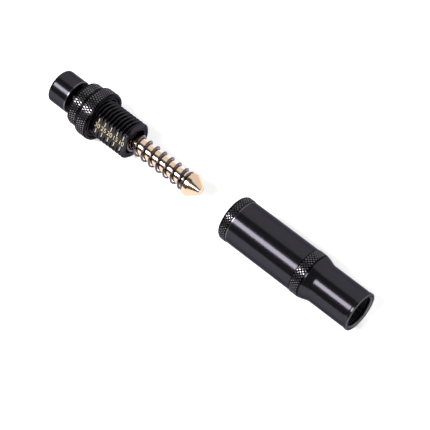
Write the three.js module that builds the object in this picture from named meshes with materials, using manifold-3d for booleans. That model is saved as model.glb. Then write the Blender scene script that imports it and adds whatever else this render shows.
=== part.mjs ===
// A spring-loaded valve tool for metalwork benches and tyre stems, in two pieces on one axis.
// The adjuster carries a pull knob, a lock ring on a coarse thread, a scale flat, and a
// sprung brass stem with a cone.  The sleeve holds the cone's seat and a threaded nose.
// Millimetres, +Z up.  The tool lies along +X, knob at -X, nose at +X, lock ring on the floor.

import * as THREE from "three";
import { mergeVertices } from "three/addons/utils/BufferGeometryUtils.js";
import Module from "manifold-3d";

const wasm = await Module();
wasm.setup();

// ---- Driving dimensions: adjuster -------------------------------------------------------
const KNOB_RADIUS = 6.4;
const KNOB_LENGTH = 8.2;
const KNOB_ROUND = 0.9;
const NECK_RADIUS = 4.4;
const NECK_LENGTH = 3.1;
const SET_SCREW_RADIUS = 1.25;
const SET_SCREW_LENGTH = 3.0;
const SET_SCREW_SOCKET = 0.75;

const THREAD_RADIUS = 7.0;
const THREAD_PITCH = 1.5;
const THREAD_DEPTH = 0.85;
const THREAD_LENGTH = 19.5;
const LEAD_LENGTH = 1.2;
const LEAD_WALL = 1.0;
const COLLAR_RISE = 1.3;
const COLLAR_LENGTH = 4.4;
const COLLAR_CHAMFER = 0.4;
const FLAT_DEPTH = 1.1;
const FLAT_ANGLE = THREE.MathUtils.degToRad(60);
const SPRING_POCKET_DEPTH = 18.6;

const LOCK_RING_WALL = 2.4;
const LOCK_RING_LENGTH = 5.0;
const LOCK_RING_CHAMFER = 0.5;
const LOCK_RECESS_DEPTH = 1.2;
const LOCK_SEAL_SECTION = 0.4;

// ---- Driving dimensions: stem and spring ------------------------------------------------
const TAIL_RADIUS = 2.5;
const TAIL_IN_KNOB = 5.5;
const SPIGOT_RADIUS = 1.7;
const SPIGOT_LENGTH = 2.4;
const HEAD_RADIUS = 4.5;
const HEAD_LAND = 1.7;
const CONE_LENGTH = 3.55;
const CONE_TIP_RADIUS = 1.6;
const EXPOSED_ROD = 25.0;
const PULL_STROKE = 14.0;
const SPRING_RADIUS = 3.9;
const SPRING_WIRE = 0.42;
const SPRING_PITCH = 3.36;
const BUSH_RADIUS = 4.0;
const BUSH_FLANGE = 0.8;
const WASHER_THICKNESS = 0.6;

// ---- Driving dimensions: scale and rest layout ------------------------------------------
const SCALE_STEP = 2.85;
const SCALE_START = 2.2;
const CLOSED_STEPS = 3;
const REST_GAP = 14.65;

// ---- Driving dimensions: sleeve ---------------------------------------------------------
const SLEEVE_WALL = 1.2;
const BAND_RISE = 0.15;
const BACK_BAND_LENGTH = 3.6;
const BARREL_LENGTH = 28.0;
const FRONT_BAND_LENGTH = 3.8;
const TAPER_LENGTH = 3.5;
const NOSE_LENGTH = 16.6;
const NOSE_WALL = 1.7;
const NOSE_LIP_RISE = 0.12;
const NOSE_LIP_LENGTH = 1.2;
const NOSE_MOUTH_CHAMFER = 0.5;
const SLEEVE_ROUND = 1.0;
const SLEEVE_THREAD_DEPTH = 17.0;
const CHAMBER_ROOM = 1.5;
const SEAT_EDGE_RADIUS = 3.0;
const SEAT_LENGTH = 3.0;
const SEAT_SEAL_SECTION = 0.5;
const WEB_THICKNESS = 1.5;
const WEB_HOLE_RADIUS = 3.0;
const DEPRESSOR_DISC = 0.8;
const DEPRESSOR_PIN_RADIUS = 0.8;
const DEPRESSOR_PIN_LENGTH = 5.0;
const VENT_RADIUS = 1.0;
const VENT_CIRCLE = 3.0;
const VENTS = 3;
const GASKET_THICKNESS = 1.6;
const GASKET_HOLE_RADIUS = 2.6;
const STEM_THREAD_RADIUS = 3.85;
const INSERT_WALL = 1.65;
const INSERT_LENGTH = 8.0;

// ---- Fits and facets --------------------------------------------------------------------
const FIXED_FIT = 0.1;
const RUNNING_FIT = 0.1;
const THREAD_FIT = 0.1;
const SPRING_FIT = 0.7;
const ROD_FIT = 0.26;
const FACE_GAP = 0.3;
const SEAT_GAP = 0.2;
const SMALL_CHAMFER = 0.3;
const SIDES = 36;
const FINE_SIDES = 24;
const RING_SIDES = 8;
const ROUND_STEPS = 3;
const WIRE_SIDES = 6;
const WIRE_STEPS = 12;

// ---- Sizes that follow ------------------------------------------------------------------
const threadBore = THREAD_RADIUS + THREAD_FIT;
const springPocket = SPRING_RADIUS + SPRING_FIT;
const rodRadius = SPRING_RADIUS - 2 * SPRING_WIRE - ROD_FIT;
const lockRingRadius = threadBore + LOCK_RING_WALL;
const barrelRadius = threadBore + SLEEVE_WALL;
const bandRadius = barrelRadius + BAND_RISE;
const chamberRadius = HEAD_RADIUS + CHAMBER_ROOM;
const insertRadius = STEM_THREAD_RADIUS + INSERT_WALL;
const noseBore = insertRadius + FIXED_FIT;
const noseRadius = noseBore + NOSE_WALL;
const axisHeight = lockRingRadius * Math.cos(Math.PI / SIDES);

// ---- Places along the axis, from the knob to the nose -----------------------------------
const sleeveLength = BACK_BAND_LENGTH + BARREL_LENGTH + FRONT_BAND_LENGTH + TAPER_LENGTH + NOSE_LENGTH;
const adjusterLength = KNOB_LENGTH + NECK_LENGTH + COLLAR_LENGTH + THREAD_LENGTH + LEAD_LENGTH;
const headLength = HEAD_LAND + CONE_LENGTH;
const overallLength = adjusterLength + EXPOSED_ROD + headLength + REST_GAP + sleeveLength;

const knobBack = -overallLength / 2;
const knobFront = knobBack + KNOB_LENGTH;
const collarBack = knobFront + NECK_LENGTH;
const collarFront = collarBack + COLLAR_LENGTH;
const threadEnd = collarFront + THREAD_LENGTH;
const bodyEnd = threadEnd + LEAD_LENGTH;
const pocketFloor = bodyEnd - SPRING_POCKET_DEPTH;
const lockRingBack = collarFront + FACE_GAP;
const lockRingFront = lockRingBack + LOCK_RING_LENGTH;
const bushFront = pocketFloor + FACE_GAP + BUSH_FLANGE;
const washerBack = bushFront + FACE_GAP;
const washerFront = washerBack + WASHER_THICKNESS;
const headBack = bodyEnd + EXPOSED_ROD;
const headFront = headBack + HEAD_LAND;
const coneTip = headFront + CONE_LENGTH;

const sleeveBack = coneTip + REST_GAP;
const barrelStart = sleeveBack + BACK_BAND_LENGTH;
const barrelEnd = barrelStart + BARREL_LENGTH;
const taperStart = barrelEnd + FRONT_BAND_LENGTH;
const noseStart = taperStart + TAPER_LENGTH;
const noseEnd = noseStart + NOSE_LENGTH;

// The first scale mark is SCALE_START in front of the lock ring.  The cone meets its seat just
// as the sleeve's back face reaches the mark that is CLOSED_STEPS further on.
const closedMark = lockRingFront + SCALE_START + SCALE_STEP * CLOSED_STEPS;
const closingTravel = sleeveBack - closedMark;
const coneSlope = (HEAD_RADIUS - CONE_TIP_RADIUS) / CONE_LENGTH;
const tipPastSeat = (SEAT_EDGE_RADIUS - CONE_TIP_RADIUS) / coneSlope;
const seatEdge = coneTip + closingTravel - tipPastSeat + SEAT_GAP;
const seatFlare = (chamberRadius - SEAT_EDGE_RADIUS) / 4;
const seatBack = seatEdge - seatFlare / coneSlope;
const seatFront = seatBack + SEAT_LENGTH;
const webBack = seatFront + FACE_GAP + 2 * SEAT_SEAL_SECTION + FACE_GAP;
const webFront = webBack + WEB_THICKNESS;
const depressorBack = webFront + FACE_GAP;
const gasketBack = depressorBack + DEPRESSOR_DISC + FACE_GAP;
const insertBack = gasketBack + GASKET_THICKNESS + FACE_GAP;
const insertFront = insertBack + INSERT_LENGTH;

// ---- Finishes ---------------------------------------------------------------------------
const finish = (color, roughness, metalness) =>
  new THREE.MeshStandardMaterial({ color, roughness, metalness });
const blackAnodised = () => finish(0x34323a, 0.38, 0.85);
const brass = () => finish(0xe3b98f, 0.25, 1.0);
const springSteel = () => finish(0x8f8794, 0.3, 1.0);
const darkSteel = () => finish(0x3d3d40, 0.45, 0.9);
const bronze = () => finish(0xa9794b, 0.5, 0.9);
const rubber = () => finish(0x17171a, 0.8, 0.0);

// ---- Building blocks --------------------------------------------------------------------
// Turns an outline of [place along the axis, radius] pairs about the tool's axis.
function turned(outline, sides) {
  const points = outline.map(([x, r]) => new THREE.Vector2(r, x));
  const ends = [points[0], points[points.length - 1]];
  if (!ends.every((point) => point.x === 0)) points.push(points[0].clone());
  if (THREE.ShapeUtils.area(points) < 0) points.reverse();
  const geometry = new THREE.LatheGeometry(points, sides, Math.PI / sides);
  return geometry.rotateZ(-Math.PI / 2);
}

// Points of a round from angle `from` to `to` about a centre, as outline pairs.
function round(x, r, radius, from, to) {
  const points = [];
  for (let step = 0; step <= ROUND_STEPS; step++) {
    const angle = THREE.MathUtils.degToRad(from + ((to - from) * step) / ROUND_STEPS);
    points.push([x + radius * Math.cos(angle), r + radius * Math.sin(angle)]);
  }
  return points;
}

// An O-ring's outline: a circle of `section` radius whose centre runs at `r`.
function ringOutline(x, r, section) {
  const points = [];
  for (let side = 0; side < RING_SIDES; side++) {
    const angle = (2 * Math.PI * side) / RING_SIDES;
    points.push([x + section * Math.cos(angle), r + section * Math.sin(angle)]);
  }
  return points;
}

// A plain ring or washer between two places and two radii.
function ringBlock(from, to, inner, outer, sides) {
  return turned([[from, inner], [from, outer], [to, outer], [to, inner]], sides);
}

// A rod along +X from the origin, used to cut holes.
function cutter(radius, length, sides) {
  return turned([[0, 0], [0, radius], [length, radius], [length, 0]], sides);
}

// A closed geometry as a solid: shared corners are merged and empty triangles are dropped.
function solid(geometry) {
  const bare = geometry.clone();
  bare.deleteAttribute("normal");
  bare.deleteAttribute("uv");
  const merged = mergeVertices(bare);
  const index = merged.index.array;
  const triangles = [];
  for (let i = 0; i < index.length; i += 3) {
    const [a, b, c] = [index[i], index[i + 1], index[i + 2]];
    if (a !== b && b !== c && c !== a) triangles.push(a, b, c);
  }
  return new wasm.Manifold(new wasm.Mesh({
    numProp: 3,
    vertProperties: new Float32Array(merged.attributes.position.array),
    triVerts: new Uint32Array(triangles),
  }));
}

// A solid's vertices and triangles as a geometry again.
function geometryOf(manifold) {
  const mesh = manifold.getMesh();
  const geometry = new THREE.BufferGeometry();
  geometry.setAttribute("position", new THREE.BufferAttribute(mesh.vertProperties, mesh.numProp));
  geometry.setIndex(new THREE.BufferAttribute(mesh.triVerts, 1));
  geometry.computeVertexNormals();
  return geometry;
}

const cut = (body, ...tools) =>
  geometryOf(tools.reduce((left, tool) => left.subtract(solid(tool)), solid(body)));

function part(name, geometry, material) {
  const mesh = new THREE.Mesh(geometry, material);
  mesh.name = name;
  return mesh;
}

// Turns a geometry that points along +X so that it points away from the axis, opposite the flat.
const pointAwayFromFlat = (geometry, x) =>
  geometry.rotateZ(Math.PI / 2).rotateX(-Math.PI / 2 + FLAT_ANGLE).translate(x, 0, 0);

// ---- Adjuster pieces --------------------------------------------------------------------
const setScrewPlace = knobFront - TAIL_IN_KNOB / 2;

function pullKnob() {
  const hole = TAIL_RADIUS + FIXED_FIT;
  const holeFloor = knobFront - TAIL_IN_KNOB - FACE_GAP;
  const outline = [
    [knobBack, 0],
    ...round(knobBack + KNOB_ROUND, KNOB_RADIUS - KNOB_ROUND, KNOB_ROUND, 180, 90),
    [knobFront - SMALL_CHAMFER, KNOB_RADIUS],
    [knobFront, KNOB_RADIUS - SMALL_CHAMFER],
    [knobFront, NECK_RADIUS],
    [collarBack - FACE_GAP, NECK_RADIUS],
    [collarBack - FACE_GAP, hole],
    [holeFloor, hole],
    [holeFloor, 0],
  ];
  const screwHole = cutter(SET_SCREW_RADIUS + FIXED_FIT, KNOB_RADIUS + FACE_GAP, FINE_SIDES);
  pointAwayFromFlat(screwHole, setScrewPlace);
  return part("pull_knob", cut(turned(outline, SIDES), screwHole), blackAnodised());
}

function knobSetScrew() {
  const socketDepth = SET_SCREW_LENGTH / 2;
  const socket = cutter(SET_SCREW_SOCKET, socketDepth + FACE_GAP, 6);
  socket.translate(SET_SCREW_LENGTH - socketDepth, 0, 0);
  const screw = cut(cutter(SET_SCREW_RADIUS, SET_SCREW_LENGTH, FINE_SIDES), socket);
  screw.translate(TAIL_RADIUS + FACE_GAP, 0, 0);
  return part("knob_set_screw", pointAwayFromFlat(screw, setScrewPlace), darkSteel());
}

// The thread as rings of one pitch: every crest and root lies where the helix's mean does.
function threadOutline() {
  const points = [];
  const root = THREAD_RADIUS - THREAD_DEPTH;
  const crests = Math.floor(THREAD_LENGTH / THREAD_PITCH);
  for (let crest = crests - 1; crest >= 0; crest--) {
    const place = threadEnd - crest * THREAD_PITCH;
    points.push([place - THREAD_PITCH / 2, root], [place, THREAD_RADIUS]);
  }
  return points;
}

function adjusterBody() {
  const collarRadius = THREAD_RADIUS + COLLAR_RISE;
  const root = THREAD_RADIUS - THREAD_DEPTH;
  const bushHole = BUSH_RADIUS + FIXED_FIT;
  const outline = [
    [collarBack, bushHole],
    [collarBack, collarRadius - COLLAR_CHAMFER],
    [collarBack + COLLAR_CHAMFER, collarRadius],
    [collarFront - COLLAR_CHAMFER, collarRadius],
    [collarFront, collarRadius - COLLAR_CHAMFER],
    [collarFront, root],
    ...threadOutline(),
    [bodyEnd, springPocket + LEAD_WALL],
    [bodyEnd, springPocket + SMALL_CHAMFER],
    [bodyEnd - SMALL_CHAMFER, springPocket],
    [pocketFloor, springPocket],
    [pocketFloor, bushHole],
  ];
  const flatLength = bodyEnd - collarFront + FACE_GAP;
  const flat = new THREE.BoxGeometry(flatLength, 4 * THREAD_RADIUS, 2 * THREAD_RADIUS);
  flat.translate(collarFront + flatLength / 2, 0, 2 * THREAD_RADIUS - FLAT_DEPTH);
  flat.rotateX(FLAT_ANGLE);
  return part("adjuster_body", cut(turned(outline, SIDES), flat), blackAnodised());
}

function lockRing() {
  const recess = threadBore + LOCK_RING_WALL / 2;
  const outline = [
    [lockRingBack, threadBore],
    [lockRingBack, lockRingRadius - LOCK_RING_CHAMFER],
    [lockRingBack + LOCK_RING_CHAMFER, lockRingRadius],
    [lockRingFront - LOCK_RING_CHAMFER, lockRingRadius],
    [lockRingFront, lockRingRadius - LOCK_RING_CHAMFER],
    [lockRingFront, recess],
    [lockRingFront - LOCK_RECESS_DEPTH, recess],
    [lockRingFront - LOCK_RECESS_DEPTH, threadBore],
  ];
  return part("lock_ring", turned(outline, SIDES), blackAnodised());
}

function lockRingSeal() {
  const place = lockRingFront - LOCK_RECESS_DEPTH / 2;
  const outline = ringOutline(place, threadBore + FIXED_FIT + LOCK_SEAL_SECTION, LOCK_SEAL_SECTION);
  return part("lock_ring_seal", turned(outline, SIDES), rubber());
}

function stemGuideBush() {
  const bore = TAIL_RADIUS + RUNNING_FIT;
  const outline = [
    [collarBack, bore],
    [collarBack, BUSH_RADIUS],
    [pocketFloor + FACE_GAP, BUSH_RADIUS],
    [pocketFloor + FACE_GAP, springPocket - FIXED_FIT],
    [bushFront, springPocket - FIXED_FIT],
    [bushFront, bore],
  ];
  return part("stem_guide_bush", turned(outline, FINE_SIDES), bronze());
}

// ---- Stem and spring pieces -------------------------------------------------------------
// The thick part of the rod meets the washer at the end of the pull stroke.
function stemRod() {
  const tailEnd = knobFront - TAIL_IN_KNOB;
  const shoulder = washerFront + PULL_STROKE;
  const rodEnd = headBack - FACE_GAP;
  const outline = [
    [tailEnd, 0],
    [tailEnd, TAIL_RADIUS],
    [shoulder, TAIL_RADIUS],
    [shoulder, rodRadius],
    [rodEnd, rodRadius],
    [rodEnd, SPIGOT_RADIUS],
    [rodEnd + SPIGOT_LENGTH, SPIGOT_RADIUS],
    [rodEnd + SPIGOT_LENGTH, 0],
  ];
  return part("stem_rod", turned(outline, FINE_SIDES), brass());
}

function coneHead() {
  const hole = SPIGOT_RADIUS + FIXED_FIT;
  const outline = [
    [headBack + SPIGOT_LENGTH, 0],
    [headBack + SPIGOT_LENGTH, hole],
    [headBack, hole],
    [headBack, HEAD_RADIUS],
    [headFront, HEAD_RADIUS],
    [coneTip, CONE_TIP_RADIUS],
    [coneTip, 0],
  ];
  return part("cone_head", turned(outline, SIDES), brass());
}

// The closing spring's wire: a helix about the axis from the washer to the head.
class SpringPath extends THREE.Curve {
  getPoint(t) {
    const from = washerFront + FACE_GAP + SPRING_WIRE;
    const to = headBack - FACE_GAP - SPRING_WIRE;
    const angle = (2 * Math.PI * t * (to - from)) / SPRING_PITCH;
    const radius = SPRING_RADIUS - SPRING_WIRE;
    return new THREE.Vector3(from + t * (to - from), radius * Math.sin(angle), radius * Math.cos(angle));
  }
}

function closingSpring() {
  const wire = new THREE.Shape().absarc(0, 0, SPRING_WIRE, 0, 2 * Math.PI);
  const turns = (headBack - washerFront) / SPRING_PITCH;
  const geometry = new THREE.ExtrudeGeometry(wire, {
    curveSegments: WIRE_SIDES,
    steps: Math.round(turns * WIRE_STEPS),
    extrudePath: new SpringPath(),
  });
  return part("closing_spring", geometry, springSteel());
}

function springWasher() {
  const inner = TAIL_RADIUS + RUNNING_FIT;
  const geometry = ringBlock(washerBack, washerFront, inner, springPocket - RUNNING_FIT, FINE_SIDES);
  return part("spring_washer", geometry, darkSteel());
}

// ---- Sleeve pieces ----------------------------------------------------------------------
function sleeve() {
  const lip = noseRadius + NOSE_LIP_RISE;
  const threadStop = sleeveBack + SLEEVE_THREAD_DEPTH;
  const outline = [
    ...round(sleeveBack + SLEEVE_ROUND, bandRadius - SLEEVE_ROUND, SLEEVE_ROUND, 180, 90),
    [barrelStart, bandRadius],
    [barrelStart, barrelRadius],
    [barrelEnd, barrelRadius],
    [barrelEnd, bandRadius],
    [taperStart, bandRadius],
    [noseStart, noseRadius],
    [noseEnd - NOSE_LIP_LENGTH, noseRadius],
    [noseEnd - NOSE_LIP_LENGTH, lip],
    [noseEnd - SMALL_CHAMFER, lip],
    [noseEnd, lip - SMALL_CHAMFER],
    [noseEnd, noseBore + NOSE_MOUTH_CHAMFER],
    [noseEnd - NOSE_MOUTH_CHAMFER, noseBore],
    [webFront, noseBore],
    [webFront, WEB_HOLE_RADIUS],
    [webBack, WEB_HOLE_RADIUS],
    [webBack, chamberRadius],
    [threadStop, chamberRadius],
    [threadStop, threadBore],
    [sleeveBack, threadBore],
  ];
  return part("sleeve", turned(outline, SIDES), blackAnodised());
}

function valveSeat() {
  const outline = [
    [seatBack, SEAT_EDGE_RADIUS + seatFlare],
    [seatBack, chamberRadius - FIXED_FIT],
    [seatFront, chamberRadius - FIXED_FIT],
    [seatFront, SEAT_EDGE_RADIUS],
    [seatEdge, SEAT_EDGE_RADIUS],
  ];
  return part("valve_seat", turned(outline, SIDES), brass());
}

function seatSeal() {
  const place = seatFront + FACE_GAP + SEAT_SEAL_SECTION;
  const r = (WEB_HOLE_RADIUS + chamberRadius) / 2;
  return part("seat_seal", turned(ringOutline(place, r, SEAT_SEAL_SECTION), FINE_SIDES), rubber());
}

function coreDepressor() {
  const discFront = depressorBack + DEPRESSOR_DISC;
  const body = turned([
    [depressorBack, 0],
    [depressorBack, insertRadius],
    [discFront, insertRadius],
    [discFront, DEPRESSOR_PIN_RADIUS],
    [discFront + DEPRESSOR_PIN_LENGTH, DEPRESSOR_PIN_RADIUS],
    [discFront + DEPRESSOR_PIN_LENGTH, 0],
  ], FINE_SIDES);
  const vents = [];
  for (let vent = 0; vent < VENTS; vent++) {
    const hole = cutter(VENT_RADIUS, DEPRESSOR_DISC + 2 * FACE_GAP, RING_SIDES * 2);
    hole.translate(depressorBack - FACE_GAP, 0, VENT_CIRCLE);
    vents.push(hole.rotateX((2 * Math.PI * vent) / VENTS));
  }
  return part("core_depressor", cut(body, ...vents), darkSteel());
}

function stemGasket() {
  const front = gasketBack + GASKET_THICKNESS;
  const geometry = ringBlock(gasketBack, front, GASKET_HOLE_RADIUS, insertRadius, FINE_SIDES);
  return part("stem_gasket", geometry, rubber());
}

function stemInsert() {
  const outline = [
    [insertBack, STEM_THREAD_RADIUS],
    [insertBack, insertRadius],
    [insertFront, insertRadius],
    [insertFront, STEM_THREAD_RADIUS + SMALL_CHAMFER],
    [insertFront - SMALL_CHAMFER, STEM_THREAD_RADIUS],
  ];
  return part("stem_insert", turned(outline, FINE_SIDES), brass());
}

// ---- The tool ---------------------------------------------------------------------------
const tool = new THREE.Group();
tool.position.z = axisHeight;

const adjuster = new THREE.Group();
adjuster.add(pullKnob(), knobSetScrew(), adjusterBody(), lockRing(), lockRingSeal());
adjuster.add(stemGuideBush(), springWasher(), closingSpring(), stemRod(), coneHead());

const sleeveGroup = new THREE.Group();
sleeveGroup.add(sleeve(), valveSeat(), seatSeal(), coreDepressor(), stemGasket(), stemInsert());

tool.add(adjuster, sleeveGroup);

export default tool;
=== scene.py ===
# %% [markdown]
# # A black anodised spring valve tool in two pieces
#
# The tool is turned metal: an adjuster with a pull knob, a knurled lock ring and a thread with a scale,
# a brass stem in a coil spring, and a sleeve with fine knurled bands and an open nose. Almost every piece
# is round, so most of this lesson draws half an outline, rounds its corners and spins it about one axis.
# The measured frame is loaded first. Everything else takes its place from it.

from math import atan2, ceil, cos, hypot, pi, radians, sin

import bmesh
import bpy
from mathutils import Matrix, Vector


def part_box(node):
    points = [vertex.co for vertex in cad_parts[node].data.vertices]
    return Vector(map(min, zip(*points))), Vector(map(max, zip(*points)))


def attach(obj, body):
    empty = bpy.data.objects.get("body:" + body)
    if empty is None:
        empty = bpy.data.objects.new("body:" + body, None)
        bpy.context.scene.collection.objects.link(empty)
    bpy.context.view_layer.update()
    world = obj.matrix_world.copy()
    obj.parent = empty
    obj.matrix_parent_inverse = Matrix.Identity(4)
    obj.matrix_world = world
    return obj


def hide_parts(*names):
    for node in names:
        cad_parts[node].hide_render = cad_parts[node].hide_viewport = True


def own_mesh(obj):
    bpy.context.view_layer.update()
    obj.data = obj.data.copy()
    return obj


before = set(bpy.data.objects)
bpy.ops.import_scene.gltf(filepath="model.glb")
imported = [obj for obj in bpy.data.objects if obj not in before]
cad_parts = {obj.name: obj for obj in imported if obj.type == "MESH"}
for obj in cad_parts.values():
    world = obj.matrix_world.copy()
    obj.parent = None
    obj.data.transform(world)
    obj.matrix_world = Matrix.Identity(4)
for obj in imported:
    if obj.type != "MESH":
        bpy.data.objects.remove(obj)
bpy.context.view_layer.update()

# %% [markdown]
# Outlines are easier to read in millimetres, along the tool's own axis. So pieces are modelled in
# millimetres round the X axis, and one last step scales them to metres and lifts them to the axis.

# %% Units and the tool's axis
MM = 0.001


def reach(node):
    """A node's first and last place along the axis and its largest radius, in mm."""
    low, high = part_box(node)
    return low.x / MM, high.x / MM, (high.y - low.y) / 2 / MM


sleeve_low, sleeve_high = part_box("sleeve")
AXIS_Z = (sleeve_low.z + sleeve_high.z) / 2
FACET_SHARE = cos(pi / 36)

knob_back, neck_end, _ = reach("pull_knob")
collar_back, body_end, _ = reach("adjuster_body")
ring_back, ring_front, _ = reach("lock_ring")
rod_tail, rod_end, _ = reach("stem_rod")
head_back, cone_tip, _ = reach("cone_head")
_, washer_front, _ = reach("spring_washer")
bush_back, bush_front, _ = reach("stem_guide_bush")
sleeve_back, nose_end, _ = reach("sleeve")
seat_back, seat_front, _ = reach("valve_seat")
disc_back, _, _ = reach("core_depressor")
insert_back, insert_front, _ = reach("stem_insert")
print("axis height", round(AXIS_Z / MM, 3), "mm; length", round(nose_end - knob_back, 2), "mm")

# %% [markdown]
# ## Camera
#
# The tool lies along X and is seen from above its nose end with a long lens, which keeps the knob and the
# nose almost the same scale. The camera is placed by an azimuth and an elevation round an aim point.

# %% Camera
CAMERA_AZIMUTH = radians(42.1)
CAMERA_ELEVATION = radians(57.4)
CAMERA_DISTANCE = 0.694
CAMERA_LENS = 172.6
AIM_PLACE = Vector((7.25 * MM, 0, AXIS_Z))
AIM_LEFT = 1.94 * MM
AIM_DOWN = 2.76 * MM


def add_camera():
    back = Vector((
        sin(CAMERA_AZIMUTH) * cos(CAMERA_ELEVATION),
        -cos(CAMERA_AZIMUTH) * cos(CAMERA_ELEVATION),
        sin(CAMERA_ELEVATION),
    ))
    turn = back.to_track_quat("Z", "Y")
    aim = AIM_PLACE + turn @ Vector((-AIM_LEFT, -AIM_DOWN, 0))
    data = bpy.data.cameras.new("camera")
    data.lens = CAMERA_LENS
    data.clip_start = 0.01
    camera = bpy.data.objects.new("camera", data)
    camera.matrix_world = Matrix.Translation(aim + CAMERA_DISTANCE * back) @ turn.to_matrix().to_4x4()
    bpy.context.scene.collection.objects.link(camera)
    bpy.context.scene.camera = camera
    return back


camera_back = add_camera()
print("camera looks from", [round(v, 3) for v in camera_back])

# %% [markdown]
# ## Studio
#
# Black gloss shows the room and hardly any colour of its own. A white floor and a bright wall behind the
# tool give the grey flanks of each barrel, the dark room on the camera's side gives the black bands, and
# a long soft box gives the bright line between them. A second, slim soft box stands past the nose and
# leans back at the tool, only for the brass cone, which faces that way.

# %% Studio
TABLE_GLOW = 0.4
WALL_GLOW = 1.25
ROOM_GLOW = 0.05
WALL_EDGE = radians(9)
LIGHT_ANGLE = radians(39)


def add_table():
    """A white table that glows a little, as a lit table does, so that shadows stay faint."""
    bm = bmesh.new()
    bmesh.ops.create_grid(bm, x_segments=2, y_segments=2, size=3.0)
    mesh = bpy.data.meshes.new("table")
    bm.to_mesh(mesh)
    bm.free()
    table = bpy.data.objects.new("table", mesh)
    bpy.context.scene.collection.objects.link(table)
    material = bpy.data.materials.new("table_paper")
    material.use_nodes = True
    shader = material.node_tree.nodes["Principled BSDF"]
    shader.inputs["Base Color"].default_value = (0.9, 0.9, 0.9, 1)
    shader.inputs["Roughness"].default_value = 0.9
    shader.inputs["Emission Color"].default_value = (1, 1, 1, 1)
    shader.inputs["Emission Strength"].default_value = TABLE_GLOW
    mesh.materials.append(material)


def add_wall_glow():
    """A world that is bright behind the tool and dark on the camera's side."""
    world = bpy.data.worlds.new("studio")
    world.use_nodes = True
    nodes, links = world.node_tree.nodes, world.node_tree.links
    place = nodes.new("ShaderNodeTexCoord")
    lean = nodes.new("ShaderNodeMapping")
    lean.inputs["Rotation"].default_value = (WALL_EDGE, 0, 0)
    split = nodes.new("ShaderNodeSeparateXYZ")
    edge = nodes.new("ShaderNodeMapRange")
    edge.interpolation_type = "SMOOTHSTEP"
    limits = {"From Min": -0.06, "From Max": 0.10, "To Min": ROOM_GLOW, "To Max": WALL_GLOW}
    for name, value in limits.items():
        edge.inputs[name].default_value = value
    links.new(place.outputs["Generated"], lean.inputs["Vector"])
    links.new(lean.outputs["Vector"], split.inputs[0])
    links.new(split.outputs["Y"], edge.inputs["Value"])
    nodes["Background"].inputs["Color"].default_value = (1, 1, 1, 1)
    links.new(edge.outputs["Result"], nodes["Background"].inputs["Strength"])
    bpy.context.scene.world = world


def add_soft_box(name, lean, distance, length, width, power, leans_back=False):
    """A long soft box, `distance` out from the axis at LIGHT_ANGLE and `lean` along it."""
    data = bpy.data.lights.new(name, "AREA")
    data.shape = "RECTANGLE"
    data.size, data.size_y = length, width
    data.energy = power
    light = bpy.data.objects.new(name, data)
    out = Vector((0, -sin(LIGHT_ANGLE), cos(LIGHT_ANGLE)))
    place = Vector((lean, 0, 0)) + distance * out
    away, along = out, Vector((1, 0, 0))
    if leans_back:
        away = place.normalized()
        along = out.cross(away).cross(away).normalized()
    turn = Matrix((along, away.cross(along), away)).transposed().to_4x4()
    light.matrix_world = Matrix.Translation(place + Vector((0, 0, AXIS_Z))) @ turn
    bpy.context.scene.collection.objects.link(light)


add_table()
add_wall_glow()
add_soft_box("long_soft_box", lean=-0.48, distance=1.2, length=1.05, width=0.42, power=25)
add_soft_box("cone_soft_box", lean=1.05, distance=0.68, length=0.5, width=0.12, power=3, leans_back=True)
bpy.context.scene.view_settings.view_transform = "Standard"
print("studio: lit table, wall glow and two soft boxes")

# %% [markdown]
# ## Turned pieces
#
# A turned piece is drawn as half an outline: places along the axis and radii. Each corner may name a
# round, which a vertex bevel makes, as a lathe tool would leave it. `spin` then sweeps the outline about
# the axis. A run longer than `LONGEST_RUN` is first divided into rings, so that a painted edge highlight
# stays narrow.
# A mesh edge is drawn sharp only where the faces meet at more than `SHARP_ANGLE`.

# %% Helpers for turned pieces
STEPS = 96
LONGEST_RUN, RING_SPACING = 1.2, 0.5
SHARP_ANGLE = radians(32)
WELD = 1e-4
# The crest attribute holds painted light: above 0 a painted highlight, below 0 a painted shade.
PAINTED_LIGHT = "crest"


def spun(outline, steps=STEPS, round_segments=3):
    """Spins an outline of (place, radius) or (place, radius, round) corners about the X axis."""
    bm = bmesh.new()
    corners = [bm.verts.new((corner[0], 0, corner[1])) for corner in outline]
    pairs = list(zip(corners, corners[1:]))
    if outline[0][1] > 0 or outline[-1][1] > 0:
        pairs.append((corners[-1], corners[0]))
    for pair in pairs:
        bm.edges.new(pair)
    rounds = {}
    for vert, corner in zip(corners, outline):
        if len(corner) > 2:
            rounds.setdefault(corner[2], []).append(vert)
    for radius, verts in rounds.items():
        bmesh.ops.bevel(bm, geom=verts, offset=radius, affect="VERTICES",
                        segments=round_segments, profile=0.5, material=-1)
    for edge in bm.edges[:]:
        if edge.calc_length() > LONGEST_RUN:
            cuts = int(edge.calc_length() / RING_SPACING)
            bmesh.ops.subdivide_edges(bm, edges=[edge], cuts=cuts)
    bmesh.ops.spin(bm, geom=bm.verts[:] + bm.edges[:], cent=(0, 0, 0), axis=(1, 0, 0),
                   dvec=(0, 0, 0), angle=2 * pi, steps=steps, use_merge=True)
    bmesh.ops.remove_doubles(bm, verts=bm.verts, dist=WELD)
    bmesh.ops.recalc_face_normals(bm, faces=bm.faces)
    return bm


def radius_of(vert):
    return hypot(vert.co.y, vert.co.z)


def angle_of(vert):
    return atan2(vert.co.y, vert.co.z) % (2 * pi)


def push_to(vert, radius):
    """Moves a vertex straight out or in to a radius."""
    share = radius / radius_of(vert)
    vert.co.y *= share
    vert.co.z *= share


def painted_light_layer(bm):
    layers = bm.verts.layers.float
    return layers.get(PAINTED_LIGHT) or layers.new(PAINTED_LIGHT)


def paint_shade(bm, start, end, radius):
    """Marks the part inside a radius, between two places, with painted shade."""
    crest = painted_light_layer(bm)
    # Painted shade: these vertices take the darkest value.
    for vert in bm.verts:
        if start < vert.co.x < end + WELD and radius_of(vert) < radius:
            vert[crest] = -1.0


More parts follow.
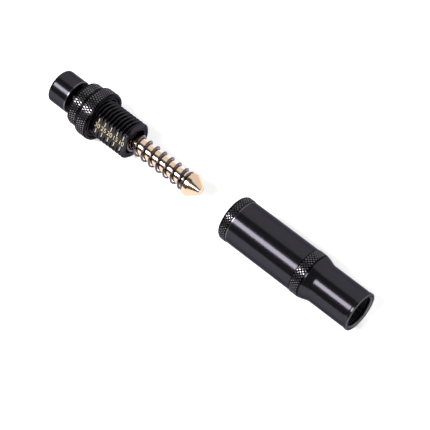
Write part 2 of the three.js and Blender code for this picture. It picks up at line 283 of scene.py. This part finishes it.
def paint_edge_highlight(bm, *places, value=0.8, reach_out=0.3):
    """Marks the edges near some (place, radius) corners with a painted highlight."""
    crest = painted_light_layer(bm)
    for vert in bm.verts:
        for place, radius in places:
            if hypot(vert.co.x - place, radius_of(vert) - radius) < reach_out:
                vert[crest] = value


def finish_piece(name, bm, body, material, replaces=(), sharp=SHARP_ANGLE):
    """Scales a bmesh from mm to metres, lifts it to the axis and rides it on its body."""
    bmesh.ops.scale(bm, vec=(MM, MM, MM), verts=bm.verts)
    bmesh.ops.translate(bm, vec=(0, 0, AXIS_Z), verts=bm.verts)
    for face in bm.faces:
        face.smooth = True
    for edge in bm.edges:
        edge.smooth = edge.calc_face_angle(0) < sharp
    mesh = bpy.data.meshes.new(name)
    bm.to_mesh(mesh)
    bm.free()
    mesh.materials.append(material)
    piece = bpy.data.objects.new(name, mesh)
    bpy.context.scene.collection.objects.link(piece)
    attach(piece, body)
    if replaces:
        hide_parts(*replaces)
    print(f"{name}: {len(mesh.polygons)} faces")
    return piece


# %% [markdown]
# ## Metal and rubber finishes
#
# Turned metal carries very fine rings from the tool. A one-dimensional noise along X makes them, and it
# feeds bump and roughness. A crest value stored on the vertices is painted light: it is up to 1 where a
# knurl or a thread stands proud, as a painted highlight, and down to -1 in grooves and recesses, as a
# painted shade.

# %% Finishes
def new_material(name, color, metallic, roughness):
    material = bpy.data.materials.new(name)
    material.use_nodes = True
    shader = material.node_tree.nodes["Principled BSDF"]
    shader.inputs["Base Color"].default_value = (*color, 1)
    shader.inputs["Metallic"].default_value = metallic
    shader.inputs["Roughness"].default_value = roughness
    return material, shader


def add_node(tree, kind, **values):
    node = tree.nodes.new(kind)
    for key, value in values.items():
        if key in node.inputs:
            node.inputs[key].default_value = value
        else:
            setattr(node, key, value)
    return node


def axis_noise(tree, scale, detail=2.0):
    """Noise that changes only along the tool's axis, as tool marks do."""
    place = add_node(tree, "ShaderNodeTexCoord")
    split = add_node(tree, "ShaderNodeSeparateXYZ")
    noise = add_node(tree, "ShaderNodeTexNoise", noise_dimensions="1D", Scale=scale, Detail=detail)
    tree.links.new(place.outputs["Object"], split.inputs[0])
    tree.links.new(split.outputs["X"], noise.inputs["W"])
    return noise.outputs["Fac"]


def grain_noise(tree, scale, detail=3.0):
    place = add_node(tree, "ShaderNodeTexCoord")
    noise = add_node(tree, "ShaderNodeTexNoise", Scale=scale, Detail=detail)
    tree.links.new(place.outputs["Object"], noise.inputs["Vector"])
    return noise.outputs["Fac"]


def remap(tree, value, low, high, value_low=0.0):
    node = add_node(tree, "ShaderNodeMapRange")
    node.inputs["From Min"].default_value = value_low
    node.inputs["To Min"].default_value = low
    node.inputs["To Max"].default_value = high
    tree.links.new(value, node.inputs["Value"])
    return node.outputs["Result"]


def bump(tree, shader, height, distance, strength=1.0):
    node = add_node(tree, "ShaderNodeBump", Strength=strength, Distance=distance)
    tree.links.new(height, node.inputs["Height"])
    tree.links.new(node.outputs["Normal"], shader.inputs["Normal"])


def mix_colors(tree, factor, first, second):
    node = add_node(tree, "ShaderNodeMix", data_type="RGBA")
    tree.links.new(factor, node.inputs["Factor"])
    node.inputs["A"].default_value = (*first, 1)
    node.inputs["B"].default_value = (*second, 1)
    return node.outputs["Result"]


def black_anodised():
    """Black anodising reflects a little; its colour is painted darker in recesses as painted shade and
    lighter on crests as a painted highlight.
    """
    material, shader = new_material("black_anodised", (0.03, 0.028, 0.035), 0.85, 0.24)
    tree = material.node_tree
    shader.inputs["Specular Tint"].default_value = (0.35, 0.34, 0.38, 1)
    crest = add_node(tree, "ShaderNodeAttribute", attribute_name=PAINTED_LIGHT)
    painted_light_ramp = add_node(tree, "ShaderNodeValToRGB")
    stops = painted_light_ramp.color_ramp.elements
    # The first stop is the painted shade colour, the last the painted highlight colour, and the stop at 0.5
    # the plain coat.
    stops[0].color = (0.004, 0.004, 0.005, 1)
    stops[1].color = (0.24, 0.23, 0.25, 1)
    stops.new(0.5).color = (0.0280, 0.0266, 0.0322, 1)
    tree.links.new(remap(tree, crest.outputs["Fac"], 0.0, 1.0, -1.0), painted_light_ramp.inputs["Fac"])
    tree.links.new(painted_light_ramp.outputs["Color"], shader.inputs["Base Color"])
    rough = remap(tree, axis_noise(tree, 2500), 0.13, 0.21)
    tree.links.new(rough, shader.inputs["Roughness"])
    bump(tree, shader, axis_noise(tree, 5000), 0.000002, 0.5)
    return material


def turned_metal(name, color, dark, roughness, marks=6000, depth=0.000003):
    """Bright turned metal with tool rings and slightly darker patches."""
    material, shader = new_material(name, color, 1.0, roughness)
    tree = material.node_tree
    tint = mix_colors(tree, grain_noise(tree, 400), dark, color)
    tree.links.new(tint, shader.inputs["Base Color"])
    rough = remap(tree, axis_noise(tree, marks / 2), roughness * 0.8, roughness * 1.3)
    tree.links.new(rough, shader.inputs["Roughness"])
    bump(tree, shader, axis_noise(tree, marks), depth)
    return material


def nitrile_rubber():
    material, shader = new_material("nitrile_rubber", (0.006, 0.006, 0.0065), 0.0, 0.7)
    shader.inputs["Specular IOR Level"].default_value = 0.2
    tree = material.node_tree
    rough = remap(tree, grain_noise(tree, 3000), 0.6, 0.85)
    tree.links.new(rough, shader.inputs["Roughness"])
    bump(tree, shader, grain_noise(tree, 6000), 0.00001)
    return material


def scale_paint():
    material, shader = new_material("scale_paint", (0.72, 0.60, 0.36), 0.0, 0.55)
    tree = material.node_tree
    tint = mix_colors(tree, grain_noise(tree, 4000), (0.40, 0.31, 0.16), (0.66, 0.54, 0.32))
    tree.links.new(tint, shader.inputs["Base Color"])
    bump(tree, shader, grain_noise(tree, 8000), 0.00001)
    return material


BLACK = black_anodised()
BRASS = turned_metal("pale_brass", (0.66, 0.50, 0.37), (0.56, 0.41, 0.29), 0.16)
SPRING_STEEL = turned_metal("spring_steel", (0.14, 0.125, 0.15), (0.08, 0.07, 0.09), 0.22, 9000, 0.000002)
DARK_STEEL = turned_metal("dark_steel", (0.12, 0.12, 0.13), (0.07, 0.07, 0.075), 0.35)
BRONZE = turned_metal("sintered_bronze", (0.45, 0.28, 0.14), (0.30, 0.18, 0.09), 0.45)
RUBBER = nitrile_rubber()
PAINT = scale_paint()
print("finishes:", [m.name for m in bpy.data.materials if m.name != "floor_paper"])

# %% [markdown]
# ## Knurls
#
# Two sets of slanting grooves cross and leave rows of small diamonds with flat tops. On a grid of rows and
# columns, every second vertex becomes a corner, as the dark squares of a chessboard do. Joining the
# corners across each face and dissolving the vertices between them leaves diamonds. Each one is then inset
# and lifted, so that the grooves stay low between them. Its last two values are crest values: a painted
# shade in the grooves and a painted highlight on the tops.

# %% Knurl helper
KNURL_CHAMFER = 0.2
# The last two values are painted shade in the grooves and a painted highlight on the diamond tops.
COARSE_KNURL = dict(depth=0.22, groove=0.21, valley_shade=-1.6, top_highlight=0.55)
FINE_KNURL = dict(depth=0.2, groove=0.24, valley_shade=-2.5, top_highlight=0.7)


def knurl_rows(start, end, radius, rows):
    """Outline corners, one for each row of the knurl."""
    return [(start + (end - start) * row / rows, radius) for row in range(rows + 1)]


def knurl(bm, start, end, radius, rows, columns, depth, groove, valley_shade, top_highlight):
    """Raises diamonds from the grid between two places, with grooves of half-width `groove`."""
    layer = painted_light_layer(bm)
    row_height = (end - start) / rows
    corners, middles = [], []
    for vert in bm.verts:
        row = (vert.co.x - start) / row_height
        if abs(radius_of(vert) - radius) > WELD or not -WELD < row < rows + WELD:
            continue
        column = round(angle_of(vert) * columns / (2 * pi))
        if (round(row) + column) % 2:
            corners.append(vert)
        elif 0 < round(row) < rows:
            middles.append(vert)
        push_to(vert, radius - depth)
        # Groove vertices take the painted shade value.
        vert[layer] = valley_shade
    bmesh.ops.connect_verts(bm, verts=corners)
    bmesh.ops.dissolve_verts(bm, verts=middles)
    chosen = set(corners)
    diamonds = [face for face in bm.faces if len(face.verts) == 4 and chosen.issuperset(face.verts)]
    bmesh.ops.inset_individual(bm, faces=diamonds, thickness=groove, depth=depth, use_even_offset=True)
    for face in diamonds:
        for vert in face.verts:
            # Diamond tops take the painted highlight value.
            vert[layer] = top_highlight
    return bm


# %% [markdown]
# ## Threads
#
# A thread is one V groove that climbs one pitch in each turn. The outline gets many rows along the
# threaded length, and after the spin each vertex takes the radius that the V has at its place and angle.
# The groove fades out at both ends, as a cut thread runs out.

# %% Thread helper
ROWS_PER_PITCH = 14
CREST_FLAT, ROOT_FLAT = 0.14, 0.10


def thread_rows(start, end, pitch, radius):
    rows = ceil((end - start) / pitch * ROWS_PER_PITCH)
    return [(start + (end - start) * row / rows, radius) for row in range(rows + 1)]


def groove_share(phase):
    """0 on the crest and 1 in the root of a V thread with small flats, for a phase from 0 to 1."""
    slope = abs(2 * (phase % 1) - 1)
    return min(1.0, max(0.0, (slope - CREST_FLAT) / (1 - CREST_FLAT - ROOT_FLAT)))


def cut_thread(bm, start, end, pitch, radius, depth, fade):
    """Cuts a right-handed groove `depth` deep, inwards if positive and outwards if negative."""
    crest = painted_light_layer(bm)
    for vert in bm.verts:
        if abs(radius_of(vert) - radius) > WELD or not start - WELD < vert.co.x < end + WELD:
            continue
        strength = min(1.0, (vert.co.x - start) / fade, (end - vert.co.x) / fade)
        share = groove_share(vert.co.x / pitch - angle_of(vert) / (2 * pi))
        push_to(vert, radius - depth * max(0.0, strength) * share)
        # Painted shade: the groove is painted darker, most of all at its root.
        vert[crest] = -max(0.0, strength) * min(1.0, 1.5 * share)


print("helpers ready")

# %% [markdown]
# ## Pull knob
#
# The knob is plain and smooth, with a soft round at its back. Its front face is a shallow cup, which stays
# in shadow, and a narrower neck runs out of it to the collar. Cup and neck are painted dark as painted
# shade, and the front edge has a painted highlight. The spring pulls the neck against the collar.

# %% Pull knob
KNOB_RADIUS = 6.4
KNOB_LENGTH = 8.2
NECK_RADIUS = 4.4
TAIL_RADIUS = 2.5
TAIL_IN_KNOB = 5.5
FIXED_FIT = 0.1
BACK_ROUND = 0.9
CUP_OUTER, CUP_INNER, CUP_DEPTH = 5.7, 5.4, 0.5
knob_front = knob_back + KNOB_LENGTH


def pull_knob():
    hole = TAIL_RADIUS + FIXED_FIT
    bm = spun([
        (knob_back, 0),
        (knob_back, KNOB_RADIUS, BACK_ROUND),
        (knob_front, KNOB_RADIUS, 0.25),
        (knob_front, CUP_OUTER, 0.1),
        (knob_front - CUP_DEPTH, CUP_INNER, 0.1),
        (knob_front - CUP_DEPTH, NECK_RADIUS, 0.2),
        (neck_end, NECK_RADIUS, 0.15),
        (neck_end, hole),
        (knob_front - TAIL_IN_KNOB, hole),
        (knob_front - TAIL_IN_KNOB, 0),
    ])
    # Painted shade: the cup and the neck are painted dark.
    paint_shade(bm, knob_front - 0.6, neck_end, KNOB_RADIUS - 0.6)
    # Painted highlight on the knob's front edge.
    paint_edge_highlight(bm, (knob_front, KNOB_RADIUS), value=0.35)
    return finish_piece("knob", bm, "stem", BLACK, ["pull_knob"])


pull_knob()

# %% [markdown]
# ## Adjuster body
#
# One turned part has two regions: a knurled collar and a threaded barrel with a milled flat. The barrel is
# modelled as its own closed shell, because the flat is made by a plane cut that must not touch the
# collar. The cut leaves one open edge loop, which is filled to make the flat.

# %% Adjuster body
COLLAR_RADIUS = 8.3
COLLAR_LENGTH = 4.4
COLLAR_ROWS, COLLAR_COLUMNS = 4, 112
THREAD_RADIUS = 7.0
THREAD_PITCH = 1.5
THREAD_DEPTH = 0.85
SPRING_POCKET = 4.6
POCKET_FLOOR = 1.9
BUSH_HOLE = 4.1
EDGE_DROP = 0.1
FLAT_HEIGHT = 5.9
FLAT_ANGLE = radians(60)
LEAD_LENGTH = 1.2
collar_front = collar_back + COLLAR_LENGTH
thread_end = body_end - LEAD_LENGTH
flat_normal = Vector((0, -sin(FLAT_ANGLE), cos(FLAT_ANGLE)))


def knurled_collar():
    start, end = collar_back + KNURL_CHAMFER, collar_front - KNURL_CHAMFER
    face_radius = COLLAR_RADIUS - KNURL_CHAMFER - EDGE_DROP
    bm = spun([
        (collar_back, BUSH_HOLE),
        (collar_back, face_radius),
        *knurl_rows(start, end, COLLAR_RADIUS, COLLAR_ROWS),
        (collar_front, face_radius),
        (collar_front, BUSH_HOLE),
    ], steps=COLLAR_COLUMNS)
    return knurl(bm, start, end, COLLAR_RADIUS, COLLAR_ROWS, COLLAR_COLUMNS, **COARSE_KNURL)


def threaded_barrel():
    overlap = 0.2
    start = collar_front - overlap
    bm = spun([
        (start, 4.2),
        *thread_rows(start, thread_end, THREAD_PITCH, THREAD_RADIUS),
        (body_end - 0.75, THREAD_RADIUS, 0.1),
        (body_end, SPRING_POCKET + 1.5, 0.1),
        (body_end, SPRING_POCKET + 0.3),
        (body_end - 0.3, SPRING_POCKET),
        (collar_front + POCKET_FLOOR, SPRING_POCKET),
        (collar_front + POCKET_FLOOR, 4.2),
    ], steps=120)
    cut_thread(bm, start, thread_end, THREAD_PITCH, THREAD_RADIUS, THREAD_DEPTH, 0.25)
    # Painted shade: the spring pocket's inside is painted dark.
    paint_shade(bm, start, body_end - 0.4, SPRING_POCKET + 0.1)
    cut = bmesh.ops.bisect_plane(bm, geom=bm.verts[:] + bm.edges[:] + bm.faces[:],
                                 plane_co=FLAT_HEIGHT * flat_normal, plane_no=flat_normal,
                                 clear_outer=True)
    loop = [item for item in cut["geom_cut"] if isinstance(item, bmesh.types.BMEdge)]
    flat = bmesh.ops.edgeloop_fill(bm, edges=loop)["faces"]
    bmesh.ops.inset_individual(bm, faces=flat, thickness=0.06, use_even_offset=True)
    crest = painted_light_layer(bm)
    for vert in {vert for face in flat for vert in face.verts}:
        vert[crest] = 0.0
    return bm


def joined(*meshes):
    """Puts several closed shells in one bmesh, with their crest values."""
    whole = bmesh.new()
    painted_light_layer(whole)
    for part in meshes:
        painted_light_layer(part)
        holder = bpy.data.meshes.new("holder")
        part.to_mesh(holder)
        part.free()
        whole.from_mesh(holder)
        bpy.data.meshes.remove(holder)
    return whole


finish_piece("adjuster", joined(knurled_collar(), threaded_barrel()), "adjuster", BLACK,
             ["adjuster_body"], sharp=radians(14))

# %% [markdown]
# ## Scale
#
# Five setting marks cross the flat, each with its number between two short ticks. The real ones are
# engraved and filled with cream paint, which ends almost level with the metal. So each mark is a very
# thin solid that stands a few hundredths of a millimetre proud.

# %% Scale marks
SCALE_START = 2.2
SCALE_STEP = 2.85
SCALE_NUMBERS = ("30", "25", "20", "15", "10")
TICK_INNER, TICK_OUTER, TICK_WIDTH = 1.25, 2.95, 0.30
TICK_ROUND = 0.12
NUMBER_SIZE = 2.4
MARK_PROUD = 0.03
MARK_SUNK = 0.1
across_flat = flat_normal.cross(Vector((1, 0, 0)))


def on_flat(place, across, proud):
    """A point on the flat in mm: along the axis, across the flat and above it."""
    return Vector((place, 0, 0)) + across * across_flat + (FLAT_HEIGHT + proud) * flat_normal


def flat_matrix(place, across):
    turn = Matrix((Vector((1, 0, 0)), across_flat, flat_normal)).transposed().to_4x4()
    return Matrix.Translation(on_flat(place, across, 0)) @ turn


def tick_mesh(place, side):
    """A short stroke with rounded ends, on one side of a number."""
    bm = bmesh.new()
    length = TICK_OUTER - TICK_INNER
    middle = side * (TICK_INNER + TICK_OUTER) / 2
    height = MARK_PROUD + MARK_SUNK
    made = bmesh.ops.create_cube(bm, size=1.0)["verts"]
    bmesh.ops.scale(bm, vec=(TICK_WIDTH, length, height), verts=made)
    bmesh.ops.translate(bm, vec=(0, 0, MARK_PROUD - height / 2), verts=made)
    corners = [e for e in bm.edges if abs(e.verts[0].co.z - e.verts[1].co.z) > WELD]
    bmesh.ops.bevel(bm, geom=corners, offset=TICK_ROUND, affect="EDGES", segments=2, profile=0.5,
                    material=-1)
    bmesh.ops.transform(bm, matrix=flat_matrix(place, middle), verts=bm.verts)
    return bm


def number_mesh(text, place):
    """A number as a thin solid, centred on its setting mark."""
    curve = bpy.data.curves.new("number", "FONT")
    curve.body = text
    curve.size = NUMBER_SIZE
    curve.align_x = curve.align_y = "CENTER"
    curve.extrude = (MARK_PROUD + MARK_SUNK) / 2
    holder = bpy.data.objects.new("number", curve)
    mesh = bpy.data.meshes.new_from_object(holder)
    bm = bmesh.new()
    bm.from_mesh(mesh)
    bmesh.ops.remove_doubles(bm, verts=bm.verts, dist=WELD)
    low = min(v.co.x for v in bm.verts)
    high = max(v.co.x for v in bm.verts)
    bmesh.ops.translate(bm, vec=(-(low + high) / 2, 0, (MARK_PROUD - MARK_SUNK) / 2), verts=bm.verts)
    bmesh.ops.transform(bm, matrix=flat_matrix(place, 0), verts=bm.verts)
    bpy.data.objects.remove(holder)
    bpy.data.curves.remove(curve)
    bpy.data.meshes.remove(mesh)
    return bm


def scale_marks():
    shells = []
    for step, number in enumerate(SCALE_NUMBERS):
        place = ring_front + SCALE_START + SCALE_STEP * step
        shells += [tick_mesh(place, -1), tick_mesh(place, 1), number_mesh(number, place)]
    return finish_piece("scale_marks", joined(*shells), "adjuster", PAINT)


scale_marks()

# %% [markdown]
# ## Lock ring
#
# The lock ring is a knurled nut. Its knurl matches the collar's, with a narrow chamfer at each end, and a
# shallow recess in its front face holds a rubber ring that drags on the thread.

# %% Lock ring and its seal
RING_RADIUS = AXIS_Z / MM
RING_ROWS, RING_COLUMNS = 5, 126
THREAD_BORE = 7.1
RECESS_RADIUS, RECESS_DEPTH = 8.25, 1.2


def lock_ring():
    start, end = ring_back + KNURL_CHAMFER, ring_front - KNURL_CHAMFER
    face_radius = RING_RADIUS - KNURL_CHAMFER - EDGE_DROP
    bm = spun([
        (ring_back, THREAD_BORE + 0.2),
        (ring_back, face_radius),
        *knurl_rows(start, end, RING_RADIUS, RING_ROWS),
        (ring_front, face_radius),
        (ring_front, RECESS_RADIUS, 0.1),
        (ring_front - RECESS_DEPTH, RECESS_RADIUS),
        (ring_front - RECESS_DEPTH, THREAD_BORE + 0.1),
        (ring_front - 1.3, THREAD_BORE),
        (ring_back + 0.2, THREAD_BORE),
    ], steps=RING_COLUMNS)
    knurl(bm, start, end, RING_RADIUS, RING_ROWS, RING_COLUMNS, **COARSE_KNURL)
    # Painted shade: the front recess is painted dark.
    paint_shade(bm, ring_front - 1.5, ring_front - 0.3, RECESS_RADIUS + 0.1)
    return finish_piece("lock_nut", bm, "lock_ring", BLACK, ["lock_ring"])


def o_ring(name, node, section, body):
    """A rubber ring: a circle of `section` radius spun about the axis."""
    start, end, outside = reach(node)
    middle = outside / FACET_SHARE - section
    points = 12
    circle = [
        ((start + end) / 2 + section * cos(2 * pi * p / points), middle + section * sin(2 * pi * p / points))
        for p in range(points)
    ]
    return finish_piece(name, spun(circle, steps=72), body, RUBBER, [node])


lock_ring()
o_ring("lock_ring_drag_seal", "lock_ring_seal", 0.4, "lock_seal")

# %% [markdown]
# ## Brass stem
#
# The rod has a thinner tail that runs through the bush into the knob. A thin spigot on its other end holds
# the cone head, which has a short straight land behind the cone.

# %% Rod and cone head
ROD_RADIUS = 2.8
HEAD_RADIUS = 4.5
HEAD_LAND = 1.7
TIP_RADIUS = 1.6
SPIGOT_RADIUS = 1.7
SPIGOT_HOLE, SPIGOT_HOLE_DEPTH = 1.8, 2.4
PULL_STROKE = 14.0


def stem_rod():
    shoulder = washer_front + PULL_STROKE
    bm = spun([
        (rod_tail, 0),
        (rod_tail, TAIL_RADIUS, 0.3),
        (shoulder, TAIL_RADIUS),
        (shoulder, ROD_RADIUS, 0.2),
        (head_back - 0.3, ROD_RADIUS),
        (head_back - 0.3, SPIGOT_RADIUS),
        (rod_end, SPIGOT_RADIUS, 0.2),
        (rod_end, 0),
    ], steps=64)
    return finish_piece("rod", bm, "stem", BRASS, ["stem_rod"])


def cone_head():
    bm = spun([
        (head_back + SPIGOT_HOLE_DEPTH, 0),
        (head_back + SPIGOT_HOLE_DEPTH, SPIGOT_HOLE),
        (head_back, SPIGOT_HOLE),
        (head_back, HEAD_RADIUS, 0.15),
        (head_back + HEAD_LAND, HEAD_RADIUS, 0.12),
        (cone_tip, TIP_RADIUS, 0.2),
        (cone_tip, 0),
    ])
    return finish_piece("poppet_cone", bm, "stem", BRASS, ["cone_head"])


stem_rod()
cone_head()

# %% [markdown]
# ## Closing spring
#
# `spin` takes a step along the axis as well as a turn, so a small circle swept by it becomes a coil. The
# spring is swept in three runs: a closed end turn, the working turns, and a closed end turn.

# %% Closing spring
SPRING_RADIUS = 3.9
WIRE_RADIUS = 0.42
SPRING_PITCH = 3.36
CLOSED_TURNS = 1.0
CLOSED_PITCH = 2.1 * WIRE_RADIUS
COIL_STEPS = 30


def coil_run(bm, geom, turns, advance):
    """Sweeps the wire's last section through some turns while it advances along the axis."""
    steps = round(turns * COIL_STEPS)
    made = bmesh.ops.spin(bm, geom=geom, cent=(0, 0, 0), axis=(1, 0, 0), dvec=(advance / steps, 0, 0),
                          angle=2 * pi * turns, steps=steps)
    return made["geom_last"]


def closing_spring():
    start, end, _ = reach("closing_spring")
    closed_advance = CLOSED_TURNS * CLOSED_PITCH
    working = end - start - 2 * WIRE_RADIUS - 2 * closed_advance
    bm = bmesh.new()
    wire = bmesh.ops.create_circle(bm, cap_ends=False, radius=WIRE_RADIUS, segments=12)["verts"]
    bmesh.ops.rotate(bm, cent=(0, 0, 0), matrix=Matrix.Rotation(pi / 2, 3, "X"), verts=wire)
    bmesh.ops.translate(bm, vec=(start + WIRE_RADIUS, 0, SPRING_RADIUS - WIRE_RADIUS), verts=wire)
    first = bm.verts[:] + bm.edges[:]
    last = coil_run(bm, first, CLOSED_TURNS, closed_advance)
    last = coil_run(bm, last, working / SPRING_PITCH, working)
    last = coil_run(bm, last, CLOSED_TURNS, closed_advance)
    bmesh.ops.remove_doubles(bm, verts=bm.verts, dist=WELD)
    open_edges = [edge for edge in bm.edges if edge.is_boundary]
    bmesh.ops.holes_fill(bm, edges=open_edges, sides=0)
    bmesh.ops.recalc_face_normals(bm, faces=bm.faces)
    piece = finish_piece("coil_spring", bm, "spring_seat", SPRING_STEEL, ["closing_spring"])
    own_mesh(piece)
    return piece


closing_spring()

# %% [markdown]
# ## Sleeve
#
# The sleeve is one long outline: a fine knurled band with a rounded back edge, a smooth barrel, a second
# band, a taper and the nose with its slight lip. Inside are the thread for the adjuster, the chamber for
# the cone, a web with a hole, and the nose's own bore with a fine thread.

# %% Sleeve
BARREL_RADIUS = 8.3
BAND_RADIUS = 8.45
BACK_BAND = 3.6
FRONT_BAND_START = 31.6
FRONT_BAND = 3.8
TAPER_END = 38.9
NOSE_RADIUS = 7.3
LIP_RADIUS = 7.42
NOSE_BORE = 5.6
CHAMBER_RADIUS = 6.0
WEB_HOLE, WEB_THICKNESS = 3.0, 1.5
FACE_GAP = 0.3
SLEEVE_THREAD_LENGTH, SLEEVE_THREAD_DEPTH = 17.0, 0.55
NOSE_THREAD_PITCH, NOSE_THREAD_DEPTH = 0.75, 0.35
MOUTH_WIDTH = 0.6
SLEEVE_STEPS = 96
BACK_ROWS, FRONT_ROWS = 5, 6


def sleeve():
    band_one = (sleeve_back + 0.7, sleeve_back + BACK_BAND)
    band_two = (sleeve_back + FRONT_BAND_START, sleeve_back + FRONT_BAND_START + FRONT_BAND)
    thread_start, thread_stop = sleeve_back + 0.4, sleeve_back + SLEEVE_THREAD_LENGTH
    web_front = disc_back - FACE_GAP
    web_back = web_front - WEB_THICKNESS
    nose_thread = (insert_front + FACE_GAP, nose_end - 0.9)
    bm = spun([
        (sleeve_back, THREAD_BORE + 0.35, 0.1),
        (sleeve_back, BAND_RADIUS - 0.75, 0.35),
        *knurl_rows(*band_one, BAND_RADIUS, BACK_ROWS),
        (band_one[1] + 0.05, BARREL_RADIUS),
        (band_two[0] - 0.05, BARREL_RADIUS),
        *knurl_rows(*band_two, BAND_RADIUS, FRONT_ROWS),
        (sleeve_back + TAPER_END, NOSE_RADIUS, 0.6),
        (nose_end - 1.2, NOSE_RADIUS),
        (nose_end - 1.0, LIP_RADIUS),
        (nose_end, LIP_RADIUS, 0.25),
        (nose_end, NOSE_BORE + MOUTH_WIDTH, 0.1),
        (nose_end - 0.5, NOSE_BORE),
        *reversed(thread_rows(*nose_thread, NOSE_THREAD_PITCH, NOSE_BORE)),
        (web_front, NOSE_BORE),
        (web_front, WEB_HOLE),
        (web_back, WEB_HOLE),
        (web_back, CHAMBER_RADIUS),
        (thread_stop, CHAMBER_RADIUS),
        *reversed(thread_rows(thread_start, thread_stop, THREAD_PITCH, THREAD_BORE)),
    ], steps=SLEEVE_STEPS)
    knurl(bm, *band_one, BAND_RADIUS, BACK_ROWS, SLEEVE_STEPS, **FINE_KNURL)
    knurl(bm, *band_two, BAND_RADIUS, FRONT_ROWS, SLEEVE_STEPS, **FINE_KNURL)
    cut_thread(bm, thread_start, thread_stop, THREAD_PITCH, THREAD_BORE, -SLEEVE_THREAD_DEPTH, 0.5)
    cut_thread(bm, *nose_thread, NOSE_THREAD_PITCH, NOSE_BORE, -NOSE_THREAD_DEPTH, 0.3)
    # Painted shade: the nose's end face is painted dark.
    paint_shade(bm, nose_end - 0.01, nose_end, LIP_RADIUS - 0.3)
    # Painted highlights on the nose's outer and inner edges.
    paint_edge_highlight(bm, (nose_end, LIP_RADIUS - 0.15), (nose_end, NOSE_BORE + 0.5), value=0.5, reach_out=0.16)
    # A painted highlight at the back band's front edge.
    paint_edge_highlight(bm, (band_one[1] + 0.05, BARREL_RADIUS), value=0.5, reach_out=0.04)
    # A painted highlight at the sleeve's back edge.
    paint_edge_highlight(bm, (sleeve_back, BAND_RADIUS - 0.75), value=0.6)
    # Painted shade: the nose bore behind its thread is painted dark.
    paint_shade(bm, web_front, nose_thread[0], NOSE_BORE + 0.1)
    return finish_piece("sleeve_barrel", bm, "sleeve", BLACK, ["sleeve"])


sleeve()

# %% [markdown]
# ## Pieces inside
#
# The bush, washer, seat, gasket, depressor and insert are small rings and discs. They show only down a
# bore or through a gap, but each is a whole piece with its own finish.

# %% Rings and discs
def ring_piece(name, node, inner, outer, body, material, bevel=0.12, steps=72):
    start, end, _ = reach(node)
    bm = spun([(start, inner, bevel), (start, outer, bevel), (end, outer, bevel), (end, inner, bevel)],
              steps=steps)
    return finish_piece(name, bm, body, material, [node])


def guide_bush():
    bore, outside, flange, flange_thickness = 2.6, 4.0, 4.5, 0.8
    flange_back = bush_front - flange_thickness
    bm = spun([
        (bush_back, bore), (bush_back, outside, 0.2), (flange_back, outside), (flange_back, flange, 0.1),
        (bush_front, flange, 0.15), (bush_front, bore),
    ], steps=72)
    return finish_piece("guide_bush", bm, "adjuster", BRONZE, ["stem_guide_bush"])


def valve_seat():
    bore, outside, flare, flare_length = 3.0, 5.9, 0.75, 0.918
    bm = spun([
        (seat_back, bore + flare, 0.05), (seat_back, outside, 0.15), (seat_front, outside, 0.15),
        (seat_front, bore), (seat_back + flare_length, bore),
    ])
    return finish_piece("seat_ring", bm, "sleeve", BRASS, ["valve_seat"])


def stem_insert():
    bore, outside, pitch, depth = 3.85, 5.5, 0.8, 0.4
    start, end = insert_back + 0.3, insert_front - 0.35
    bm = spun([
        (insert_back, bore + 0.1), (insert_back, outside, 0.15), (insert_front, outside, 0.2),
        (insert_front, bore + 0.5, 0.1), (insert_front - 0.3, bore),
        *reversed(thread_rows(start, end, pitch, bore)),
    ])
    cut_thread(bm, start, end, pitch, bore, -depth, 0.3)
    return finish_piece("valve_stem_insert", bm, "sleeve", BRASS, ["stem_insert"])


ring_piece("spring_seat_washer", "spring_washer", 2.6, 4.5, "spring_seat", DARK_STEEL)
ring_piece("gasket", "stem_gasket", 2.6, 5.5, "sleeve", RUBBER, bevel=0.2)
guide_bush()
valve_seat()
stem_insert()
o_ring("seat_ring_seal", "seat_seal", 0.5, "sleeve")

# %% [markdown]
# ## Core depressor and set screw
#
# The depressor is a disc with vents and a pin. Its vents were cut in the measured part, so that node is
# kept and only takes a finish. The set screw is kept in the same way.

# %% Kept pieces
for node, material in (("core_depressor", DARK_STEEL), ("knob_set_screw", DARK_STEEL)):
    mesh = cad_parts[node].data
    mesh.materials.clear()
    mesh.materials.append(material)
    print(node, "takes", material.name)
